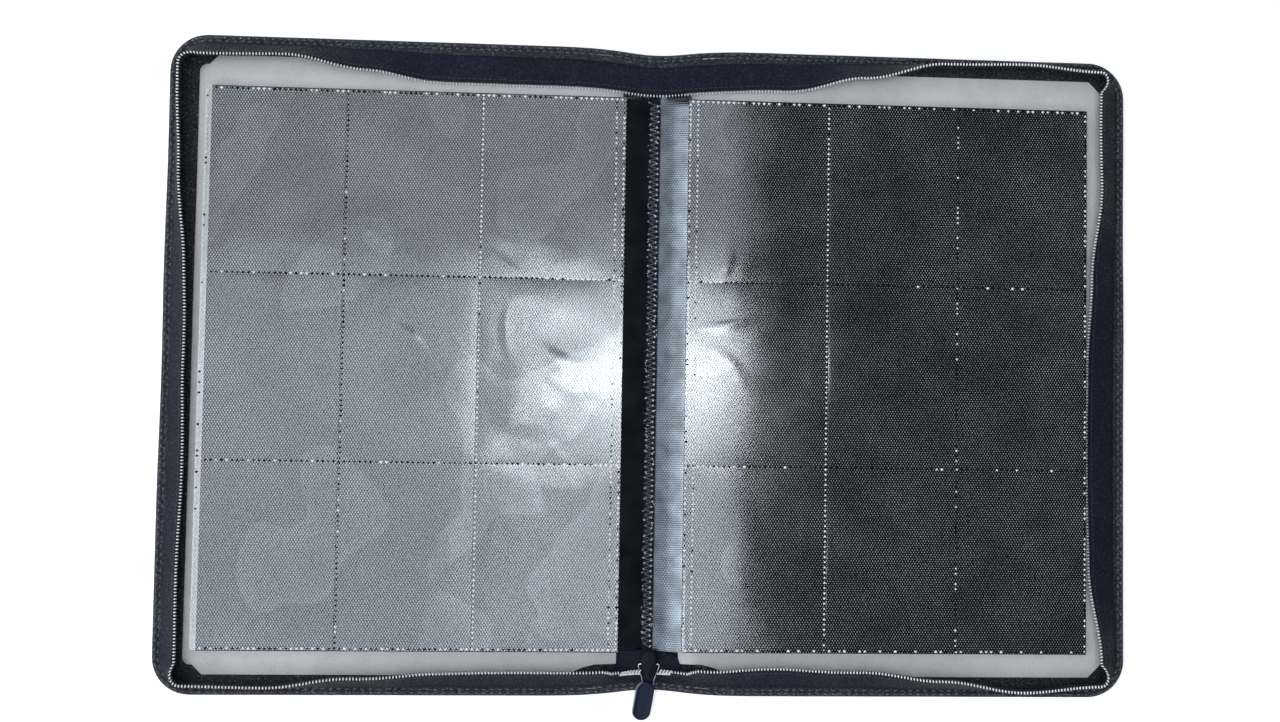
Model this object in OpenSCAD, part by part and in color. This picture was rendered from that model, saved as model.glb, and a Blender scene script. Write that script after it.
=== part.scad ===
// Zip-around trading card binder with nine-pocket leaves, lying open and flat.
// X runs across the open binder, Y along the spine, Z up from the table.
// The origin is the middle of the spine's underside.

/* [Pages] */
// Width of one card pocket, seam to seam
pocket_w = 67.4; // [66:0.1:69]
// Height of one card pocket, seam to seam
pocket_h = 93.2; // [91:0.1:94]
// Pockets across a leaf, and the same number down it
pockets = 3; // [3:1:3]
// Weld strip between a leaf's cloth margin and its first pocket
weld_strip_w = 5.8; // [4:0.1:7]
// Cloth margin from the binding line to the leaf
margin_w = 15.85; // [14:0.05:16]
// Leaves on each side of the binding
leaves = 10; // [4:1:10]
// Height that one leaf takes up in the stack
leaf_pitch = 0.65; // [0.6:0.01:0.7]
// Thickness of a leaf's textured backing
backing_t = 0.3; // [0.25:0.01:0.35]
// Thickness of one clear pocket film
film_t = 0.14; // [0.1:0.01:0.14]
// How far the leaves sit below the middle of the covers
page_drop = 2.1; // [0:0.1:4]

/* [Covers] */
// Distance from the spine's middle to a cover's fore-edge
half_open = 246.5; // [242:0.5:250]
// Height of a cover along the spine
cover_h = 331; // [326:0.5:340]
// Corner radius of a cover
corner_r = 19; // [17:0.5:22]
// Outer cloth thickness
skin_t = 0.8; // [0.6:0.05:1]
// Stiffener board thickness
board_t = 2; // [1.5:0.1:2.2]
// Foam padding thickness
foam_t = 1.4; // [1:0.1:1.6]
// Lining thickness
lining_t = 0.5; // [0.3:0.05:0.6]
// Width of the rolled edge
hem_w = 3.5; // [3:0.1:4]
// Gap from the cover's edge to the lining
lining_inset = 10.5; // [10:0.1:12]
// Cut corner of the lining
lining_cut = 9; // [6:0.5:12]

/* [Spine] */
// Distance between the two fold lines
spine_w = 40; // [38:0.5:42]
// Height of the spine
spine_h = 325; // [320:0.5:328]
// Half width of the flexible cloth at each fold
gutter_half = 3; // [2.5:0.1:3]
// Width of the spine's stiffener
spine_board_w = 29; // [26:0.5:29]
// Width of the strip that the leaves are sewn to
binding_w = 6.4; // [5:0.1:7]
// Pitch of the zigzag binding stitch
zigzag_pitch = 4; // [3:0.5:6]

/* [Zip] */
// Width of the free tape beyond its seam
tape_w = 15; // [14:0.1:15]
// Tape thickness
tape_t = 0.7; // [0.5:0.05:0.8]
// Coil width
coil_w = 2.4; // [2:0.1:2.6]
// Coil thickness
coil_t = 1.6; // [1.2:0.1:1.8]
// Slider width
slider_w = 9.2; // [8:0.1:10]
// Slider length
slider_l = 14.5; // [12:0.1:16]
// Pull tab width
tab_w = 9.4; // [8:0.1:11]
// Pull tab length
tab_l = 21; // [16:0.5:24]
// Pull tab thickness
tab_t = 2.6; // [2:0.1:3]
// Sideways lean of the pull tab, in degrees
tab_lean = 8; // [0:1:12]
// Pull wire radius
wire_r = 0.65; // [0.5:0.05:0.7]

/* [Hidden] */

$fn = 64;
NAVY = [0.09, 0.11, 0.17];
TWILL = [0.13, 0.16, 0.25];
GREY = [0.62, 0.63, 0.65];
BLACK = [0.05, 0.05, 0.07];
STEEL = [0.75, 0.76, 0.78];

half_h = cover_h / 2;
fold_x = spine_w / 2;
board_z = skin_t;
foam_z = board_z + board_t;
cover_top = foam_z + foam_t + lining_t;
hem_top = cover_top;
spine_top = skin_t + board_t + lining_t;
board_inset = 4;
cover_x0 = fold_x + gutter_half;

page_w = pockets * pocket_w + weld_strip_w;
page_h = pockets * pocket_h + 0.4;
page_x0 = margin_w;
leaf_gap = 0.2;
leaf_z0 = cover_top + leaf_gap;
leaf_t = backing_t + 2 * film_t;
slit = 1;

// The tape stands on a sewn flange between the hem and the lining.
flange_in = hem_w + 0.1;
flange_out = lining_inset - 0.2;
flange_t = lining_t;
flange_z = cover_top - flange_t;
root_z = cover_top + 0.5;
root_inset = 4.6;
flat_pull = 2.4;
// Gap between the tape and its coil, and how far the coil underneath lifts a tape that lies flat.
coil_gap = 0.25;
flat_lift = coil_t + 0.3;

// Lean of the tape from upright towards the leaves, in degrees, at even steps along each side.
BACK_TOP = [90, 80, 40, 12, 8, 16];
BACK_FORE = [50, 48, 68, 80, 82, 76, 46];
BACK_BOTTOM = [16, 6, 24, 40, 48, 44];
FRONT_TOP = [90, 90, 88, 56, 30, 34];
FRONT_FORE = [16, 22, 42, 47, 50, 45, 44];
FRONT_BOTTOM = [12, 10, 25, 34, 40, 42];
SIDE_STEPS = 20;
CORNER_STEPS = 6;
// Share of the fore-edge that swings on its own when the binder closes.
EDGE_FROM = 0.2;
EDGE_TO = 0.8;

slider_y = -141.2;
slider_z = spine_top + 0.9;
plate_t = 1;
throat = 2.2;
cap_t = 2.2;
pivot_y = slider_y - 7;
pivot_z = slider_z + plate_t + throat + cap_t / 2;
wire_clear = 0.08;
tab_y = -157.4;
tab_z = 5.9;
tab_slope = 13;

// ---- outlines ----

// A cover's outline pulled in by inset, on the +X side, starting at x0.
module cover_outline(x0, inset = 0) {
    x1 = half_open - inset;
    y1 = half_h - inset;
    r = corner_r - inset;
    translate([x0, -y1]) square([x1 - r - x0, 2 * y1]);
    translate([x0, r - y1]) square([x1 - x0, 2 * (y1 - r)]);
    for (side = [-1, 1]) translate([x1 - r, side * (y1 - r)]) circle(r);
}

// A slab between two heights.
module slab(z0, z1) {
    translate([0, 0, z0]) linear_extrude(z1 - z0) children();
}

// The front cover is the back cover's mirror image.
module front_side() {
    mirror([1, 0, 0]) children();
}

module cover_skin() {
    color(NAVY) slab(0, skin_t) cover_outline(cover_x0);
}

module cover_board() {
    color(GREY) slab(board_z, foam_z) cover_outline(cover_x0, board_inset);
}

module cover_foam() {
    color("white") slab(foam_z, foam_z + foam_t) cover_outline(cover_x0, board_inset);
}

module cover_lining() {
    x1 = half_open - lining_inset;
    y1 = half_h - lining_inset;
    color(GREY) slab(cover_top - lining_t, cover_top) polygon([
        [cover_x0, -y1],
        [x1 - lining_cut, -y1],
        [x1, lining_cut - y1],
        [x1, y1 - lining_cut],
        [x1 - lining_cut, y1],
        [cover_x0, y1]
    ]);
}

module cover_hem() {
    color(NAVY) slab(skin_t, hem_top) difference() {
        cover_outline(cover_x0);
        cover_outline(cover_x0 - 1, hem_w);
    }
}

// ---- zip tape ----

// Value of a list of keys at u from 0 to 1, eased between neighbours.
function keyed(keys, u) =
    let (last = len(keys) - 1, at = min(max(u, 0), 1) * last, k = min(floor(at), last - 1),
         f = (1 - cos(180 * (at - k))) / 2)
    keys[k] * (1 - f) + keys[k + 1] * f;

// Stations round a cover's three free sides: [x, y, inward normal x, y, lean].
function stations(top, fore, bottom) =
    let (cx = half_open - corner_r, cy = half_h - corner_r)
    concat(
        [for (i = [0:SIDE_STEPS]) let (u = i / SIDE_STEPS)
            [cover_x0 + 1 + u * (cx - cover_x0 - 1), half_h, 0, -1, keyed(top, u)]],
        [for (i = [1:CORNER_STEPS - 1]) let (u = i / CORNER_STEPS, a = 90 - 90 * u)
            [cx + corner_r * cos(a), cy + corner_r * sin(a), -cos(a), -sin(a),
             keyed([top[len(top) - 1], fore[0]], u)]],
        [for (i = [0:SIDE_STEPS]) let (u = i / SIDE_STEPS)
            [half_open, cy - 2 * u * cy, -1, 0, keyed(fore, u)]],
        [for (i = [1:CORNER_STEPS - 1]) let (u = i / CORNER_STEPS, a = -90 * u)
            [cx + corner_r * cos(a), -cy + corner_r * sin(a), -cos(a), -sin(a),
             keyed([fore[len(fore) - 1], bottom[0]], u)]],
        [for (i = [0:SIDE_STEPS]) let (u = i / SIDE_STEPS)
            [cx - u * (cx - cover_x0 - 1), -half_h, 0, 1, keyed(bottom, u)]]
    );

// A point at a station: so far in from the edge, and so high.
function inside(s, inset, z) = [s[0] + s[2] * inset, s[1] + s[3] * inset, z];

// A point on the leaning blade: along it from the root, and out from its middle towards the leaves.
function on_blade(s, along, across) =
    let (root = root_inset + flat_pull * pow(s[4] / 90, 2), z = root_z + flat_lift * pow(s[4] / 90, 8))
    inside(s, root + along * sin(s[4]) + across * cos(s[4]),
           z + along * cos(s[4]) - across * sin(s[4]));

function tape_ring(s) = [
    inside(s, flange_out, flange_z),
    inside(s, flange_in, flange_z),
    inside(s, flange_in, flange_z + flange_t),
    on_blade(s, 0, -tape_t / 2),
    on_blade(s, tape_w - coil_w, -tape_t / 2),
    on_blade(s, tape_w, -tape_t / 2),
    on_blade(s, tape_w, tape_t / 2),
    on_blade(s, tape_w - coil_w, tape_t / 2),
    on_blade(s, 0.2, tape_t / 2),
    inside(s, flange_out, flange_z + flange_t)
];

function coil_ring(s) =
    let (in = tape_t / 2 + coil_gap, bevel = 0.4)
    [
        on_blade(s, tape_w - coil_w, in),
        on_blade(s, tape_w, in),
        on_blade(s, tape_w, in + coil_t - bevel),
        on_blade(s, tape_w - bevel, in + coil_t),
        on_blade(s, tape_w - coil_w + bevel, in + coil_t),
        on_blade(s, tape_w - coil_w, in + coil_t - bevel)
    ];

// Skins a list of rings into one closed solid.
module skin_rings(rings) {
    m = len(rings[0]);
    n = len(rings);
    sides = [for (i = [0:n - 2], j = [0:m - 1]) let (k = (j + 1) % m)
        each [[i * m + j, i * m + k, (i + 1) * m + k], [i * m + j, (i + 1) * m + k, (i + 1) * m + j]]];
    first = [for (j = [m - 1:-1:0]) j];
    last = [for (j = [0:m - 1]) (n - 1) * m + j];
    polyhedron([for (r = rings) each r], concat(sides, [first, last]));
}

function slice(list, from, to) = [for (i = [from:to]) list[i]];

fore_first = SIDE_STEPS + CORNER_STEPS;
edge_first = fore_first + round(EDGE_FROM * SIDE_STEPS);
edge_last = fore_first + round(EDGE_TO * SIDE_STEPS);
path_last = 3 * SIDE_STEPS + 2 * CORNER_STEPS;

BACK_PATH = stations(BACK_TOP, BACK_FORE, BACK_BOTTOM);
FRONT_PATH = stations(FRONT_TOP, FRONT_FORE, FRONT_BOTTOM);

module ends_tape(path) {
    color(TWILL) {
        skin_rings([for (s = slice(path, 0, edge_first)) tape_ring(s)]);
        skin_rings([for (s = slice(path, edge_last, path_last)) tape_ring(s)]);
    }
}

module ends_coil(path) {
    color(BLACK) {
        skin_rings([for (s = slice(path, 0, edge_first)) coil_ring(s)]);
        skin_rings([for (s = slice(path, edge_last, path_last)) coil_ring(s)]);
    }
}

module edge_tape(path) {
    color(TWILL) skin_rings([for (s = slice(path, edge_first, edge_last)) tape_ring(s)]);
}

module edge_coil(path) {
    color(BLACK) skin_rings([for (s = slice(path, edge_first, edge_last)) coil_ring(s)]);
}

// ---- spine ----

module gutter_cloth() {
    x0 = fold_x - gutter_half;
    color(NAVY) slab(0, skin_t) polygon([
        [x0, -spine_h / 2], [cover_x0, -half_h], [cover_x0, half_h], [x0, spine_h / 2]
    ]);
}

module spine_bar(w, h, z0, z1) {
    slab(z0, z1) square([w, h], center = true);
}

module spine_skin() {
    color(NAVY) spine_bar(spine_w - 2 * gutter_half, spine_h, 0, skin_t);
}

module spine_board() {
    color(GREY) spine_bar(spine_board_w, spine_h - 8, skin_t, skin_t + board_t);
}

module spine_lining() {
    color(NAVY) spine_bar(spine_board_w + 0.6, spine_h - 6, skin_t + board_t, spine_top);
}

binding_t = 1.3;
binding_h = page_h - 2;

module binding_strip() {
    translate([0, -page_drop, 0])
        color(BLACK) spine_bar(binding_w, binding_h, spine_top, spine_top + binding_t);
}

// A zigzag thread along the binding line.
module binding_stitch() {
    thread = 0.5;
    reach = 1.6;
    turns = floor((binding_h - 6) / zigzag_pitch);
    y0 = -turns * zigzag_pitch / 2 - page_drop;
    left = [for (i = [0:turns]) [(i % 2 == 0 ? -reach : reach) - thread, y0 + i * zigzag_pitch]];
    right = [for (i = [turns:-1:0]) [(i % 2 == 0 ? -reach : reach) + thread, y0 + i * zigzag_pitch]];
    z = spine_top + binding_t;
    color("white") slab(z, z + 0.3) polygon(concat(left, right));
}

// Tape that carries the zip flat across the top of the spine.
module zip_bridge() {
    y1 = spine_h / 2 - root_inset;
    color(TWILL) slab(spine_top, spine_top + tape_t) translate([-13.8, y1 - tape_w - 2])
        square([27.6, tape_w + 2]);
}

// Folded cloth tab under the slider, over the end of the spine.
module end_gusset() {
    color(NAVY) slab(spine_top, spine_top + 0.8) polygon([
        [-14.2, -158.3], [14.2, -158.3], [14.2, -146.5], [5.5, -142], [-5, -142], [-14.2, -146.2]
    ]);
}

// Stations where the tape comes down from a fold to the slider: [x, lean, width].
TAIL = [[14.2, 42, 14], [11.5, 46, 11.5], [8.8, 54, 9.5], [6.5, 62, 8.5]];

function tail_ring(side, t, from, to, in, out) =
    let (y0 = root_inset - spine_h / 2 + 0.6, z0 = spine_top + 1.3, a = t[1])
    [for (p = [[from, in], [to, in], [to, out], [from, out]])
        [side * t[0], y0 + p[0] * sin(a) + p[1] * cos(a), z0 + p[0] * cos(a) - p[1] * sin(a)]];

module tails(in, out, back_off) {
    for (side = [-1, 1]) {
        rings = [for (t = TAIL) tail_ring(side, t, back_off ? t[2] - coil_w : 0, t[2], in, out)];
        skin_rings(side > 0 ? rings : [for (i = [len(rings) - 1:-1:0]) rings[i]]);
    }
}

module zip_tails() {
    color(TWILL) tails(-tape_t / 2, tape_t / 2, false);
}

module coil_ends() {
    color("white") tails(tape_t / 2 + coil_gap, tape_t / 2 + coil_gap + coil_t, true);
}

// ---- slider and pull ----

// Drop outline: a round shoulder that narrows to a round tip.
module drop_outline(grow = 0) {
    r = slider_w / 2 + grow;
    tip_r = 1.2 + grow;
    reach = slider_l - r - tip_r + 2 * grow;
    a = asin((r - tip_r) / reach);
    steps = 12;
    head = [for (i = [0:2 * steps]) let (t = -a + (180 + 2 * a) * i / (2 * steps)) [r * cos(t), r * sin(t)]];
    tip = [for (i = [0:steps]) let (t = 180 + a + (180 - 2 * a) * i / steps)
        [tip_r * cos(t), tip_r * sin(t) - reach]];
    translate([0, slider_y - r + grow]) polygon(concat(head, tip));
}

module slider_body() {
    post_y = slider_y - 4;
    color(BLACK) difference() {
        union() {
            slab(slider_z, slider_z + plate_t) drop_outline();
            slab(slider_z, slider_z + plate_t + throat + cap_t)
                translate([0, post_y]) circle(r = 1.6);
            slab(pivot_z - cap_t / 2, pivot_z + cap_t / 2) drop_outline();
            slab(pivot_z + cap_t / 2, pivot_z + cap_t / 2 + 0.5) drop_outline(-1.1);
        }
        for (side = [-1, 1]) translate([side * slider_w / 2, pivot_y, pivot_z])
            rotate([0, 90, 0]) cylinder(h = 3, r = wire_r + wire_clear, center = true);
    }
}

// A straight length of wire that runs a little past both ends, to join the next.
module wire(a, b) {
    d = b - a;
    l = norm(d);
    past = wire_r / 2;
    translate(a - d * past / l) rotate([0, acos(d[2] / l), atan2(d[1], d[0])])
        cylinder(h = l + 2 * past, r = wire_r);
}

// Places something in the tab's own frame, with the tab running down -Y from its top end.
module at_tab() {
    translate([0, tab_y, tab_z]) rotate([tab_slope, 0, -tab_lean]) children();
}

wire_x = slider_w / 2 + 0.75;
WIRE_TOP = [wire_x, pivot_y, pivot_z];
WIRE_MID = [2.9, tab_y + 0.9, tab_z + 0.25];

module pull_wire() {
    color(STEEL) for (side = [-1, 1]) {
        top = [side * WIRE_TOP[0], WIRE_TOP[1], WIRE_TOP[2]];
        mid = [side * WIRE_MID[0] + 0.1, WIRE_MID[1] + side * 0.4, WIRE_MID[2]];
        wire([side * (wire_x - 1.8), pivot_y, pivot_z], [side * (wire_x + wire_r / 2), pivot_y, pivot_z]);
        wire(top, mid);
        wire(mid, [side * 2.7 - 0.6, tab_y - 4, tab_z - 0.6]);
    }
}

module tab_outline(inset = 0) {
    r = tab_w / 2 - inset;
    for (y = [-tab_w / 2, tab_w / 2 - tab_l]) translate([0, y]) circle(r);
    translate([-r, tab_w / 2 - tab_l]) square([2 * r, tab_l - tab_w]);
}

module pull_tab() {
    rim = 0.9;
    sink = 0.5;
    color(NAVY) difference() {
        at_tab() difference() {
            slab(-tab_t / 2, tab_t / 2) tab_outline();
            slab(tab_t / 2 - sink, tab_t) tab_outline(rim);
        }
        pull_wire();
    }
}

// ---- leaves ----

function leaf_z(level) = leaf_z0 + (leaves - level) * leaf_pitch;

module page_rect(x0, x1, h) {
    translate([x0, -page_drop - h / 2]) square([x1 - x0, h]);
}

// A whole leaf: a backing with clear pockets welded to both faces.
module leaf(level) {
    color([0.25, 0.28, 0.33]) slab(leaf_z(level), leaf_z(level) + leaf_t) page_rect(page_x0, page_x0 + page_w, page_h);
}

module leaf_backing() {
    z = leaf_z(1) + film_t;
    color(BLACK) slab(z, z + backing_t) page_rect(page_x0, page_x0 + page_w, page_h);
}

// One clear film, in a strip for each column of pockets, open along one side.
module leaf_film(z) {
    color([0.8, 0.85, 0.9]) slab(z, z + film_t)
        for (i = [0:pockets - 1]) {
            x = page_x0 + weld_strip_w + i * pocket_w;
            page_rect(x, x + pocket_w - slit, page_h - 0.6);
        }
}

module leaf_margins() {
    h = page_h - 1;
    x1 = page_x0 - 0.15;
    color(BLACK) translate([0, h / 2 - page_drop, 0]) rotate([90, 0, 0]) linear_extrude(h) polygon([
        [binding_w / 2 + 0.2, spine_top + 0.2],
        [8, spine_top + 0.2],
        [x1, leaf_z0],
        [x1, leaf_z(1) - 0.1],
        [binding_w / 2 + 0.2, spine_top + 2]
    ]);
}

module top_margin() {
    h = page_h;
    x1 = page_x0 - 0.05;
    z0 = spine_top + 2.1;
    color(GREY) translate([0, h / 2 - page_drop, 0]) rotate([90, 0, 0]) linear_extrude(h) polygon([
        [1, z0],
        [3.4, z0],
        [x1, leaf_z(1)],
        [x1, leaf_z(1) + leaf_t],
        [1, z0 + leaf_t]
    ]);
}

cover_skin();  // back_cover_skin
cover_board();  // back_cover_board
cover_foam();  // back_cover_foam
cover_lining();  // back_cover_lining
cover_hem();  // back_cover_hem
front_side() cover_skin();  // front_cover_skin
front_side() cover_board();  // front_cover_board
front_side() cover_foam();  // front_cover_foam
front_side() cover_lining();  // front_cover_lining
front_side() cover_hem();  // front_cover_hem
gutter_cloth();  // back_gutter_cloth
front_side() gutter_cloth();  // front_gutter_cloth
ends_tape(BACK_PATH);  // back_zip_tape
ends_coil(BACK_PATH);  // back_zip_coil
edge_tape(BACK_PATH);  // back_edge_tape
edge_coil(BACK_PATH);  // back_edge_coil
front_side() ends_tape(FRONT_PATH);  // front_zip_tape
front_side() ends_coil(FRONT_PATH);  // front_zip_coil
front_side() edge_tape(FRONT_PATH);  // front_edge_tape
front_side() edge_coil(FRONT_PATH);  // front_edge_coil
spine_skin();
spine_board();
spine_lining();
binding_strip();
binding_stitch();
zip_bridge();
end_gusset();
zip_tails();
coil_ends();
slider_body();
pull_wire();
pull_tab();
leaf_margins();  // back_margins
front_side() leaf_margins();  // front_margins
top_margin();  // right_leaf_01_margin
front_side() top_margin();  // left_leaf_01_margin
leaf_backing();  // right_leaf_01_backing
leaf_film(leaf_z(1) + film_t + backing_t);  // right_leaf_01_front_film
leaf_film(leaf_z(1));  // right_leaf_01_back_film
front_side() leaf_backing();  // left_leaf_01_backing
front_side() leaf_film(leaf_z(1) + film_t + backing_t);  // left_leaf_01_front_film
front_side() leaf_film(leaf_z(1));  // left_leaf_01_back_film
for (level = [2:leaves]) {
    name = str(level < 10 ? "leaf_0" : "leaf_", level);
    leaf(level);
    front_side() leaf(level);
}
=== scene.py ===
"""Zip-around trading card binder, lying open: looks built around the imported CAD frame."""
import math

import bmesh
import bpy
import numpy as np
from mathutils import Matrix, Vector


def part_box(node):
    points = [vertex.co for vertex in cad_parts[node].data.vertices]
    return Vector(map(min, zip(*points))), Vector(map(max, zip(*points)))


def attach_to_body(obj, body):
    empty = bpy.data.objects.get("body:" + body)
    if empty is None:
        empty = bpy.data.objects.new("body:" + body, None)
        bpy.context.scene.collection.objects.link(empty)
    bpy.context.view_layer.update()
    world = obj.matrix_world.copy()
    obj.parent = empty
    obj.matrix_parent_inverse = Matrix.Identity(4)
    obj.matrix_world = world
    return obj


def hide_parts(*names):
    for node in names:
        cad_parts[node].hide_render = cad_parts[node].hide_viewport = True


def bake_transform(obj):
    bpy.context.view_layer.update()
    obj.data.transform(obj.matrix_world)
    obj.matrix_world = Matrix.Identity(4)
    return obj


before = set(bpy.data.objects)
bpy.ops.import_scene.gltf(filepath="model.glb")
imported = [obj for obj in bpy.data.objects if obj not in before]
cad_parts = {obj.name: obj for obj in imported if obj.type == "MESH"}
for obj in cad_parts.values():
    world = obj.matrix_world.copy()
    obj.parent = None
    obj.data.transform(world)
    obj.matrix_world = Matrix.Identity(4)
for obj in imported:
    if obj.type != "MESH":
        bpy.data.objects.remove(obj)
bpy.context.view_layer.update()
MM = 0.001
# Edges that turn by more than this, in degrees, stay sharp.
SHARP = 62


def low(node):
    return np.array(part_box(node)[0]) / MM


def high(node):
    return np.array(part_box(node)[1]) / MM


# ---- sizes from the frame, in millimetres ----

EDGE_X = high("back_cover_skin")[0]
EDGE_Y = high("back_cover_skin")[1]
COVER_X0 = low("back_cover_skin")[0]
COVER_TOP = high("back_cover_hem")[2]
FOLD_X = COVER_X0 - 3.0
SPINE_TOP = high("spine_lining")[2]
LINING_X = high("back_cover_lining")[0]
LINING_Y = high("back_cover_lining")[1]
LEAF_X0, LEAF_Y0, _ = low("right_leaf_01_backing")
LEAF_X1, LEAF_Y1, _ = high("right_leaf_01_backing")
LEAF_Z = [low("right_leaf_01_back_film")[2]] + [low("right_leaf_%02d" % i)[2] for i in range(2, 11)]
LEAF_T = high("right_leaf_02")[2] - low("right_leaf_02")[2]
TOP_Z = low("right_leaf_01_backing")[2]
BACKING_T = high("right_leaf_01_backing")[2] - TOP_Z
PAGE_Y = (LEAF_Y0 + LEAF_Y1) / 2
CORNER_R = 19.0
# The cut across each of the lining's outer corners.
LINING_CUT = 9.0
# How many points an outline has along each straight side and round each corner.
SIDE_POINTS, CORNER_POINTS = 56, 9

POCKETS = 3
WELD_STRIP = 5.8
POCKET_W = (LEAF_X1 - LEAF_X0 - WELD_STRIP) / POCKETS
POCKET_H = (LEAF_Y1 - LEAF_Y0 - 0.4) / POCKETS

# The tape's free width, thickness and root, and its lean in degrees at even steps along the top, the
# fore-edge and the bottom of each side: 0 stands upright, and 90 lies flat.
TAPE_W = 15.0
TAPE_T = 0.6
ROOT_IN = 4.6
ROOT_Z = COVER_TOP + 0.4
FLAT_PULL = 2.4
FLAT_LIFT = 1.9
LEAN = {
    1: ([90, 80, 40, 12, 8, 16], [50, 48, 68, 80, 82, 76, 46], [16, 6, 24, 40, 46, 38]),
    -1: ([90, 90, 88, 56, 30, 34], [16, 21, 37, 41, 44, 40, 40], [12, 10, 25, 34, 38, 34]),
}
# Two places along Y, just past the leaves' corners, passed on to bend for the fore-edge's sections.
RISE_FROM, RISE_FULL = 151.0, 141.5
# The tape's sections beside the spine reach this far out from its middle.
TAPE_FOLD_END = 45.0
COIL_PITCH = 1.6
# The staggered lattice of woven dots on the leaves and margins.
DOT_X, DOT_Y = 1.4, 2.3
# Near the slider the tape lies nearly flat, and its edge keeps to this line.
TAIL_LEAN, TAIL_Y = 70, 152.8
# Beside the slider the coil is bare, this far from the middle: its turns are painted white as a broad
# highlight, and its core cord is white.
BARE_X = {1: 11.0, -1: 14.5}

# The pull tab: its size, the place of its top end, and how it leans sideways and slopes, in degrees.
TAB_W, TAB_L, TAB_T = 9.4, 21.0, 2.6
TAB_TOP = (-0.9, -157.4, 5.9)
TAB_LEAN, TAB_SLOPE = 8.0, 13.0

# The ends of the spine dip inwards a little, over this distance from its middle.
DIP = 3.0
DIP_REACH = 24.0

# Two distances from the spine's middle, passed on to bend for the fold; out to the first, the rolled edge
# beside the spine and the lining climb to the covers' height.
BEND_OUT, BEND_IN = 23.2, 16.2

# How much the film of each column ripples, from the binding outwards, and how many sharp creases it has.
FILM_RIPPLE = {1: [0.22, 0.6, 0.5], -1: [1.1, 0.7, 0.5]}
FILM_CREASES = {1: [5, 4, 2], -1: [14, 8, 4]}
# The lining's edge lies this much further from the fore-edge than the CAD sheet's.
LINING_SHORT = {1: 0.0, -1: 5.4}
# The backing stops this far inside the leaf's edge, and the films reach this far past it.
CLEAR_EDGE = {1: 0.5, -1: 0.9}
FILM_PAST = {1: 0.0, -1: 2.2}

COVER = {1: "back_cover", -1: "front_cover"}
PAGES = {1: "back_pages", -1: "front_pages"}
EDGE_ZIP = {1: "back_edge_zip", -1: "front_edge_zip"}
HAND = {1: "right", -1: "left"}
FACE = {1: "back", -1: "front"}


# ---- mesh helpers ----

def in_scene(name, data):
    ob = bpy.data.objects.new(name, data)
    bpy.context.scene.collection.objects.link(ob)
    return ob


def piece(name, verts, faces, mats, mat_ids=None, smooth=True, solid=True):
    """A mesh object in metres from points in millimetres."""
    mesh = bpy.data.meshes.new(name)
    mesh.from_pydata((np.asarray(verts, float) * MM).tolist(), [], faces)
    for m in mats:
        mesh.materials.append(m)
    if mat_ids is not None:
        mesh.polygons.foreach_set("material_index", np.asarray(mat_ids, np.int32))
    mesh.polygons.foreach_set("use_smooth", [smooth and len(p.vertices) < 5 for p in mesh.polygons])
    if solid:
        bm = bmesh.new()
        bm.from_mesh(mesh)
        bmesh.ops.recalc_face_normals(bm, faces=bm.faces)
        bm.to_mesh(mesh)
        bm.free()
    mesh.validate()
    mesh.set_sharp_from_angle(angle=math.radians(SHARP))
    return in_scene(name, mesh)


def ring_faces(n, m, loop=False, base=0):
    """Quads between n rings of m points, and end caps unless the rings close on themselves."""
    faces = []
    for i in range(n if loop else n - 1):
        a, b = base + i * m, base + ((i + 1) % n) * m
        for j in range(m):
            k = (j + 1) % m
            faces.append((a + j, a + k, b + k, b + j))
    if not loop:
        faces.append(tuple(base + j for j in range(m - 1, -1, -1)))
        faces.append(tuple(base + (n - 1) * m + j for j in range(m)))
    return faces


def skin(name, rings, mats):
    """A closed solid through rings of points."""
    rings = np.asarray(rings, float)
    n, m = rings.shape[:2]
    return piece(name, rings.reshape(-1, 3), ring_faces(n, m), mats)


def circle(n):
    """Angles at even steps round a circle."""
    return np.linspace(0, 2 * math.pi, n, endpoint=False)


def tube(path, radius, sides=6):
    """Rings round a path."""
    path = np.asarray(path, float)
    tangent = np.gradient(path, axis=0)
    tangent /= np.linalg.norm(tangent, axis=1)[:, None]
    up = np.array([0.13, 0.27, 0.95])
    side = np.cross(tangent, up)
    side /= np.linalg.norm(side, axis=1)[:, None]
    out = np.cross(side, tangent)
    a = circle(sides)[None, :, None]
    return path[:, None] + radius * (side[:, None] * np.cos(a) + out[:, None] * np.sin(a))


def capsule(a, b, width, height, up):
    """A stitch: a short thread from a to b, flattened, with rounded ends."""
    a, b, up = (np.asarray(v, float) for v in (a, b, up))
    d = b - a
    d /= np.linalg.norm(d)
    side = np.cross(d, up)
    side /= np.linalg.norm(side)
    # Each step: how far along, how wide, and how far it lifts.
    steps = [(0, 0.35, -0.5), (0.12, 0.85, -0.1), (0.5, 1, 0.15), (0.88, 0.85, -0.1), (1, 0.35, -0.5)]
    return [[a + (b - a) * t + side * math.cos(w) * width / 2 * s + up * (math.sin(w) * s + lift) * height / 2
             for w in circle(6)] for t, s, lift in steps]


def smooth_noise(x, y, seed, scale, octaves=2):
    """Soft random waves of about the given length, the same each run."""
    r = np.random.default_rng(seed)
    total = np.zeros(np.broadcast(x, y).shape)
    for o in range(octaves):
        for _ in range(5):
            a = r.uniform(0, 2 * math.pi)
            length = scale / (1.7 ** o) * r.uniform(0.7, 1.4)
            phase = r.uniform(0, 2 * math.pi)
            across = x * math.cos(a) + y * math.sin(a)
            total = total + np.sin(across * 2 * math.pi / length + phase) / (1.8 ** o)
    return total / 5


def many(name, shapes, mats):
    """One object of many capped solids."""
    return merged(name, [(shapes, False, 0)], mats)


def merged(name, groups, mats):
    """One object of several groups of ringed solids, each group closed or capped and in its own material."""
    verts, faces, mat_ids = [], [], []
    for shapes, loop, mat in groups:
        for rings in shapes:
            n, m = np.shape(rings)[:2]
            f = ring_faces(n, m, loop, base=len(verts))
            faces += f
            mat_ids += [mat] * len(f)
            verts += np.reshape(rings, (-1, 3)).tolist()
    return piece(name, verts, faces, mats, mat_ids)


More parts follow.
